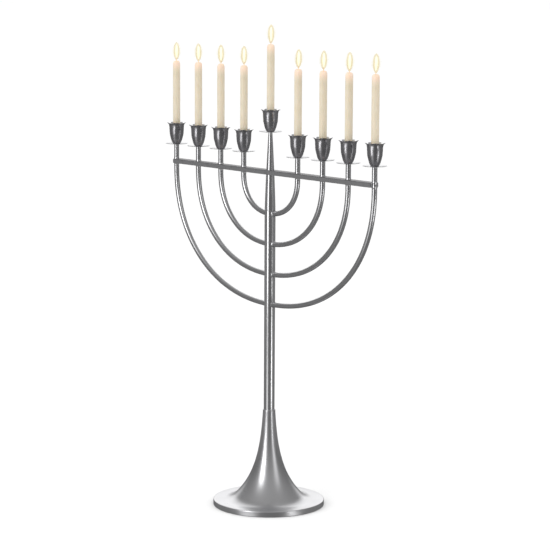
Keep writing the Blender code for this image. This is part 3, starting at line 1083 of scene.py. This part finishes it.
@dataclass
class Light:
    """A drip pan, a cup, a candle, a wick and a flame on one stem."""

    name: str
    petals: int = 5
    petal_reach: float = 3.2 * MM
    petal_rise: float = 1.2 * MM
    petal_heading: float = math.radians(-40)
    lip_height: float = 11 * MM
    cup_height: float = 58 * MM
    socket_depth: float = 20 * MM
    cup_sides: int = 120
    candle_sides: int = 48
    flame_width: float = 17 * MM
    flame_height: float = 50 * MM

    def build(self) -> None:
        """Make everything on the stem."""
        pan_low, pan_high = span(f"pan_{self.name}")
        self.axis = Vector(((pan_low.x + pan_high.x) / 2, 0, 0))
        self.build_pan(pan_low, pan_high)
        self.build_cup()
        self.build_candle()

    def at(self, height: float) -> Vector:
        """Point on the stem's axis at a height."""
        return self.axis + Vector((0, 0, height))

    def build_pan(self, low: Vector, high: Vector) -> None:
        """Make the drip pan, a shallow dish with a rolled edge.

        Args:
            low: lowest corner of its node.
            high: highest corner of its node.
        """
        radius = (high.x - low.x) / 2
        depth = high.z - low.z
        sheet = 1.1 * MM
        section = Section()
        section.to(4.4 * MM, sheet).to(18.5 * MM, sheet, 5 * MM)
        section.to(radius - 2.2 * MM, depth - 0.3 * MM, 2 * MM).to(radius - 0.4 * MM, depth, 0.5 * MM)
        section.to(radius, depth - 0.7 * MM, 0.5 * MM).to(radius - 1.2 * MM, depth - 1.4 * MM, 1 * MM)
        section.to(19 * MM, 0, 5 * MM).to(4.4 * MM, 0)
        mesh = turned(f"pan_{self.name}", section, 96, self.at(low.z), joined=True)
        place(f"pan_{self.name}_dished", mesh, SILVER_SPUN, f"pan_{self.name}", slot="satin_silver")

    def petal(self, point: Vector) -> Vector:
        """Draw a point of the cup's lip out into a petal, or back between two petals."""
        start = self.cup_height - self.lip_height
        share = max(0.0, (point.z - start) / self.lip_height) ** 2
        if share == 0:
            return point
        heading = math.atan2(point.y, point.x) - self.petal_heading
        wave = math.cos(self.petals * heading)
        outwards = Vector((point.x, point.y, 0)).normalized()
        moved = point + outwards * self.petal_reach * share * wave
        moved.z += self.petal_rise * share * wave
        return moved

    def build_cup(self) -> None:
        """Make the tulip cup with its candle socket."""
        low = span(f"cup_{self.name}")[0]
        candle_low, candle_high = span(f"candle_{self.name}")
        socket = (candle_high.x - candle_low.x) / 2 + 0.4 * MM
        floor = candle_low.z - low.z - GAP
        shelf = floor + self.socket_depth
        top = self.cup_height
        lip = top - self.lip_height
        section = Section(arc_steps=6)
        section.to(0, floor).to(socket, floor).to(socket, shelf, 1 * MM)
        section.to(16.8 * MM, shelf + 4 * MM, 4 * MM)
        section.along([(18.2 * MM, lip - 6 * MM), (18.3 * MM, lip), (18.9 * MM, lip + 4 * MM)])
        section.along(
            [(20.0 * MM, top - 3.0 * MM), (21.2 * MM, top - 1.5 * MM), (22.5 * MM, top - 0.6 * MM)]
        )
        section.to(24.0 * MM, top - 0.2 * MM, 0.4 * MM).to(24.2 * MM, top - 1.0 * MM, 0.4 * MM)
        section.along(
            [(23.0 * MM, top - 1.7 * MM), (21.8 * MM, top - 3.1 * MM), (20.9 * MM, top - 5.4 * MM)]
        )
        section.along([(20.2 * MM, lip), (20.05 * MM, lip - 6 * MM)])
        rounded = [1 - index / 14 for index in range(15)]
        section.along([((10 + 9.2 * share**0.62) * MM, 27 * MM * share) for share in rounded[:-1]])
        section.to(10 * MM, 0, 0.8 * MM).to(4.3 * MM, 0).to(4.3 * MM, 6.8 * MM).to(0, 6.8 * MM)
        mesh = turned(
            f"cup_{self.name}",
            section,
            self.cup_sides,
            self.at(low.z),
            first_angle=self.petal_heading,
            warp=self.petal,
        )
        place(f"cup_{self.name}_burnished", mesh, PEWTER, f"cup_{self.name}", slot="dark_pewter")
        # Faces inside the cup take the brighter plate: a painted highlight inside the lip
        mesh.materials.append(SILVER_LINING_PAINTED_HIGHLIGHT.material())
        for face in mesh.polygons:
            out = Vector((face.center.x - self.axis.x, face.center.y, 0))
            if face.center.z > low.z + floor and face.normal.dot(out.normalized()) < 0.3:
                face.material_index = 1

    def build_candle(self) -> None:
        """Make the candle, its wick and its flame."""
        low, high = span(f"candle_{self.name}")
        radius, length = (high.x - low.x) / 2, high.z - low.z
        body = f"candle_{self.name}"
        seed = self.axis.x * 37.0
        section = Section(arc_steps=7)
        section.to(0, length - 2.6 * MM).to(1.2 * MM, length - 2.6 * MM)
        section.to(3.6 * MM, length - 1.6 * MM, 1.5 * MM)
        section.to(5.4 * MM, length, 1.2 * MM).to(8.6 * MM, length - 2.6 * MM, 3 * MM)
        section.to(radius, length - 8 * MM, 5 * MM)
        steps = 40
        section.along([(radius, (length - 14 * MM) * (1 - index / steps)) for index in range(steps)])
        section.to(radius, 0, 0.6 * MM).to(0, 0)

        def hand_dipped(point: Vector) -> Vector:
            """Push the wax in and out a little, as dipping leaves it."""
            spot = Vector((point.x * 90, point.y * 90, point.z * 25 + seed))
            share = 1 + 0.012 * noise.noise(spot) * (1 if point.z > 25 * MM else 0)
            return Vector((point.x * share, point.y * share, point.z))

        mesh = turned(f"candle_{self.name}", section, self.candle_sides, self.at(low.z), warp=hand_dipped)
        for value, vertex in zip(mesh.attributes[GRAIN].data, mesh.vertices):
            value.vector.z = vertex.co.z - low.z    # the painted flame glow sits at the wax's top, not at its foot
        place(f"candle_{self.name}_dipped", mesh, WAX, f"candle_{self.name}", body, "ivory_wax")
        self.build_wick(low.z, length, body)
        self.build_flame(high.z, body, seed)

    def build_wick(self, foot: float, length: float, body: str) -> None:
        """Make the wick.

        Args:
            foot: height of the candle's foot.
            length: length of the candle.
            body: body of the candle.
        """
        reach, buried, steps = 8 * MM, 10 * MM, 24
        path = []
        for index in range(steps + 1):
            rise = -buried + (buried + reach) * index / steps
            lean = 1.4 * MM * max(rise / reach, 0.0) ** 2
            path.append(self.at(foot + length + rise) + Vector((lean, 0, 0)))

        def radius_at(along: float, angle: float) -> float:
            """Radius of the braid, which narrows where it is burnt."""
            burnt = max((along - buried) / reach, 0.0)
            return 0.75 * MM * (1 - 0.35 * burnt) * (1 + 0.12 * math.cos(3 * angle + along / (0.5 * MM)))

        mesh = swept(f"wick_{self.name}", path, radius_at, 16, Vector((0, 1, 0)))
        start = length - buried
        for value in mesh.attributes[GRAIN].data:
            value.vector.z += start
        place(f"wick_{self.name}_braided", mesh, COTTON, f"wick_{self.name}", body, "cotton_wick")

    def build_flame(self, foot: float, body: str, seed: float) -> None:
        """Make the flame: a pale glow, a golden veil and a white-hot core.

        Args:
            foot: height of the top of the wax.
            body: body of the candle.
            seed: number that makes each flame lean its own way.
        """
        lean = 1.6 * MM * math.sin(seed * 1.7 + 0.6)

        def drop(width: float, bottom: float, top: float) -> Section:
            """Teardrop outline from its tip down to its foot."""
            outline = Section().to(0, top)
            steps, low_power, high_power = 34, 0.62, 0.58
            peak_at = low_power / (low_power + high_power)
            peak = peak_at**low_power * (1 - peak_at) ** high_power
            for index in range(1, steps):
                share = 0.5 + 0.5 * math.cos(math.pi * index / steps)
                swell = share**low_power * (1 - share) ** high_power / peak
                outline.along([(width / 2 * swell, bottom + (top - bottom) * share)])
            return outline.to(0, bottom)

        def sway(point: Vector) -> Vector:
            """Bend the flame in a slow draught."""
            share = point.z / self.flame_height
            return point + Vector((lean * share**2, 0.4 * lean * math.sin(3 * share), 0))

        # Name, finish, width, foot and tip
        parts = (
            ("glow", FLAME_GLOW, 1.45 * self.flame_width, 1 * MM, 1.02 * self.flame_height),
            ("veil", FLAME_VEIL, self.flame_width, 0.5 * MM, self.flame_height),
            ("core", FLAME_CORE, 0.40 * self.flame_width, 7 * MM, 0.88 * self.flame_height),
        )
        for word, finish, width, bottom, top in parts:
            section = drop(width, bottom, top)
            mesh = turned(f"flame_{word}_{self.name}", section, 40, self.at(foot + 1 * MM), warp=sway)
            for value, vertex in zip(mesh.attributes[GRAIN].data, mesh.vertices):
                value.vector.z = vertex.co.z - foot - 1 * MM
            place(f"flame_{word}_{self.name}", mesh, finish, None, body)


FLAME_GLOW = FlameGas("flame_gas_pale_glow", "#f8ecc8", "#f6e8b0", "#fbf2cc", 1.0, 0.07, 52 * MM)
FLAME_VEIL = FlameGas("flame_gas_golden_veil", "#ecd6a8", "#e0cb80", "#ecdca6", 1.0, 0.36, 50 * MM)
FLAME_CORE = FlameGas("flame_gas_white_hot_core", "#ffe9c4", "#fffae0", "#fffbe8", 1.7, 0.80, 43 * MM)


# ---------------------------------------------------------------- the studio


PEAK = 3.0                      # brightest level of the rings below, which ramps hold as a share


@dataclass(frozen=True)
class Ring:
    """What metal mirrors at one height: black flags with two tall strip lights between them.

    The strips give each tube and cup its bright lines, the flags its dark flanks, and the white
    panel behind the object makes level surfaces near white.
    """

    height: float                           # sine of the angle above the horizon
    levels: tuple[tuple[float, float], ...] # degrees to the right of the camera, and brightness

    @classmethod
    def of(
        cls, height: float, left: float, right: float, flag: float, side: float, back: float
    ) -> "Ring":
        """Draw a ring.

        Args:
            height: sine of the angle above the horizon.
            left: brightness of the left strip light.
            right: brightness of the right strip light.
            flag: brightness in front, between the strips.
            side: brightness beside the object.
            back: brightness behind the object.

        Returns:
            The ring, with levels all the way round.
        """
        levels = (
            (-180, back),
            (-158, back),
            (-135, side),
            (-66, side),
            (-55, left),
            (-34, left),
            (-23, flag),
            (36, flag),
            (46, right),
            (60, right),
            (70, side),
            (135, side),
            (158, back),
            (180, back),
        )
        return cls(height, levels)


# Height, then brightness of the left strip, right strip, flag, sides and back
RINGS = (
    Ring.of(-0.60, 0.25, 0.18, 0.18, 0.20, 0.14),
    Ring.of(-0.27, 1.3, 1.7, 0.18, 0.20, 0.13),
    Ring.of(-0.18, 0.45, 0.30, 0.14, 0.24, 0.12),
    Ring.of(-0.06, 0.35, 0.20, 0.13, 0.25, 0.11),
    Ring.of(0.03, 0.8, 0.45, 0.15, 0.17, 0.11),
    Ring.of(0.10, 1.5, 0.9, 0.19, 0.15, 0.30),
    Ring.of(0.20, 2.0, 1.1, 0.24, 0.18, 1.5),
    Ring.of(0.55, 1.7, 0.95, 0.33, 0.26, 1.1),
    Ring.of(0.80, 0.36, 0.34, 0.35, 0.30, 0.6),
    Ring.of(0.93, 0.36, 0.36, 0.36, 0.36, 0.36),
)


@dataclass
class Softbox:
    """Rectangular studio light that stands round the object and faces its axis."""

    name: str
    bearing: float              # degrees to the right of the camera, seen from the object
    distance: float
    height: float
    width: float
    tall: float
    brightness: float           # light that leaves each square metre, per steradian
    mirrored: bool = False      # metal shows it, besides being lit by it

    def build(self, camera_bearing: float) -> None:
        """Put up the light.

        Args:
            camera_bearing: bearing of the camera, in degrees from -Y towards +X.
        """
        angle = math.radians(camera_bearing + self.bearing)
        lamp = bpy.data.lights.new(self.name, "AREA")
        lamp.shape = "RECTANGLE"
        lamp.size, lamp.size_y = self.width, self.tall
        lamp.energy = self.brightness * math.pi * self.width * self.tall
        stand = bpy.data.objects.new(self.name, lamp)
        out = Vector((math.sin(angle), -math.cos(angle), 0))
        stand.location = out * self.distance + Vector((0, 0, self.height))
        stand.rotation_euler = out.to_track_quat("Z", "Y").to_euler()
        stand.visible_camera = False
        stand.visible_glossy = self.mirrored
        bpy.context.scene.collection.objects.link(stand)


@dataclass
class Studio:
    """White studio: paper floor, soft lights and the camera."""

    bearing: float = 50.0       # camera, in degrees from -Y towards +X
    distance: float = 5.669
    eye_height: float = 1.473
    pitch: float = 8.5
    yaw: float = 0.141
    roll: float = 0.3
    lens: float = 140.7
    floor_size: float = 400.0

    def build(self) -> None:
        """Set up the studio."""
        self.build_floor()
        self.build_camera()
        self.build_world()
        # Bearing, distance, height, width, length and brightness
        lamps = (
            Softbox("strip_light_left", -45, 3.0, 1.35, 0.85, 2.5, 2.5, mirrored=True),
            Softbox("strip_light_right_low", 46, 3.0, -0.12, 0.45, 0.96, 2.6, mirrored=True),
            Softbox("strip_left", -104, 2.8, 1.30, 0.25, 1.8, 1.2),
            Softbox("strip_right_back", 128, 3.0, 1.10, 0.35, 2.0, 1.0),
            Softbox("strip_left_back", -148, 3.0, 1.10, 0.35, 2.0, 1.0),
        )
        for lamp in lamps:
            lamp.build(self.bearing)
        scene = bpy.context.scene
        scene.view_settings.view_transform = "Standard"

    def build_floor(self) -> None:
        """Lay the paper floor."""
        mesh = bpy.data.meshes.new("floor")
        half = self.floor_size / 2
        corners = [(-half, -half, 0), (half, -half, 0), (half, half, 0), (-half, half, 0)]
        mesh.from_pydata(corners, [], [(0, 1, 2, 3)])
        floor = bpy.data.objects.new("studio_floor", mesh)
        mesh.materials.append(PAPER.material())
        bpy.context.scene.collection.objects.link(floor)
        floor.visible_glossy = False
        floor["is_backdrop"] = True

    def build_camera(self) -> None:
        """Set up the camera."""
        data = bpy.data.cameras.new("camera")
        data.sensor_width = 36.0
        data.lens = self.lens
        data.clip_end = 500.0
        camera = bpy.data.objects.new("camera", data)
        angle = math.radians(self.bearing)
        camera.location = (
            self.distance * math.sin(angle), -self.distance * math.cos(angle), self.eye_height
        )
        aim = Euler((math.radians(90 - self.pitch), 0, math.radians(self.bearing - self.yaw)))
        tilt = Matrix.Rotation(math.radians(self.roll), 3, "Z")
        camera.rotation_euler = (aim.to_matrix() @ tilt).to_euler()
        bpy.context.scene.collection.objects.link(camera)
        bpy.context.scene.camera = camera

    def build_world(self) -> None:
        """Light the studio: white for the eye and matt things, strips and flags for metal to mirror."""
        world = bpy.data.worlds.new("studio")
        bpy.context.scene.world = world
        world.use_nodes = True
        tree = world.node_tree
        tree.nodes.clear()
        ray = add_node(tree, "LightPath")
        lit = add_node(tree, "Background", {"Color": linear("#ffffff"), "Strength": 1.12})
        seen = add_node(tree, "Background", {"Color": linear("#ffffff"), "Strength": 1.0})
        flags = add_node(tree, "Background", {"Strength": PEAK}, {"Color": self.mirrored(tree)})
        matt = add_node(
            tree,
            "MixShader",
            {},
            {0: ray.outputs["Is Glossy Ray"], 1: lit.outputs[0], 2: flags.outputs[0]},
        )
        both = add_node(
            tree,
            "MixShader",
            {},
            {0: ray.outputs["Is Camera Ray"], 1: matt.outputs[0], 2: seen.outputs[0]},
        )
        add_node(tree, "OutputWorld", {}, {"Surface": both.outputs[0]})

    def mirrored(self, tree: bpy.types.NodeTree) -> bpy.types.NodeSocket:
        """Paint what metal mirrors, from the lowest ring of the studio to the highest.

        Args:
            tree: node tree of the world.

        Returns:
            Socket with the painted brightness as a share of the peak.
        """
        angle = math.radians(self.bearing)
        spot = add_node(tree, "TexCoord").outputs["Generated"]
        height = add_node(tree, "SeparateXYZ", {}, {0: spot}).outputs["Z"]
        axes = ((math.cos(angle), math.sin(angle), 0.0), (math.sin(angle), -math.cos(angle), 0.0))
        shares = [
            add_node(tree, "VectorMath", {"operation": "DOT_PRODUCT", 1: axis}, {0: spot})
            for axis in axes
        ]
        turn = add_node(
            tree,
            "Math",
            {"operation": "ARCTAN2"},
            {index: share.outputs["Value"] for index, share in enumerate(shares)},
        )
        round_share = add_node(
            tree, "MapRange", {"From Min": -math.pi, "From Max": math.pi}, {"Value": turn.outputs[0]}
        )
        painted = None
        for below, ring in zip((None, *RINGS), RINGS):
            levels = [
                ((degrees + 180) / 360, (*[level / PEAK] * 3, 1.0)) for degrees, level in ring.levels
            ]
            band = add_node(tree, "ValToRGB", {"stops": levels}, {"Fac": round_share.outputs["Result"]})
            if below is None:
                painted = band.outputs["Color"]
                continue
            rise = add_node(
                tree, "MapRange", {"From Min": below.height, "From Max": ring.height}, {"Value": height}
            )
            mixed = add_node(
                tree,
                "Mix",
                {"data_type": "RGBA"},
                {MIX_FACTOR: rise.outputs["Result"], MIX_A: painted, MIX_B: band.outputs["Color"]},
            )
            painted = mixed.outputs[MIX_COLOUR]
        return painted


def write_sizes() -> None:
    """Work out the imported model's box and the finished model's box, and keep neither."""
    boxes = {"cad": cad_box, "visual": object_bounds()}
    {name: [list(corner) for corner in box] for name, box in boxes.items()}


def main() -> None:
    """Build the studio and the menorah, piece by piece."""
    logging.basicConfig(level=logging.INFO, format="%(name)s %(message)s")
    Studio().build()
    Foot().build()
    Pole().build()
    stems = Branches().build()
    Crossbar().build(stems, stem_radius=STEM_RADIUS)
    for name in ("1", "2", "3", "4", "shamash", "5", "6", "7", "8"):
        Light(name).build()
    write_sizes()


if __name__ == "__main__":
    main()
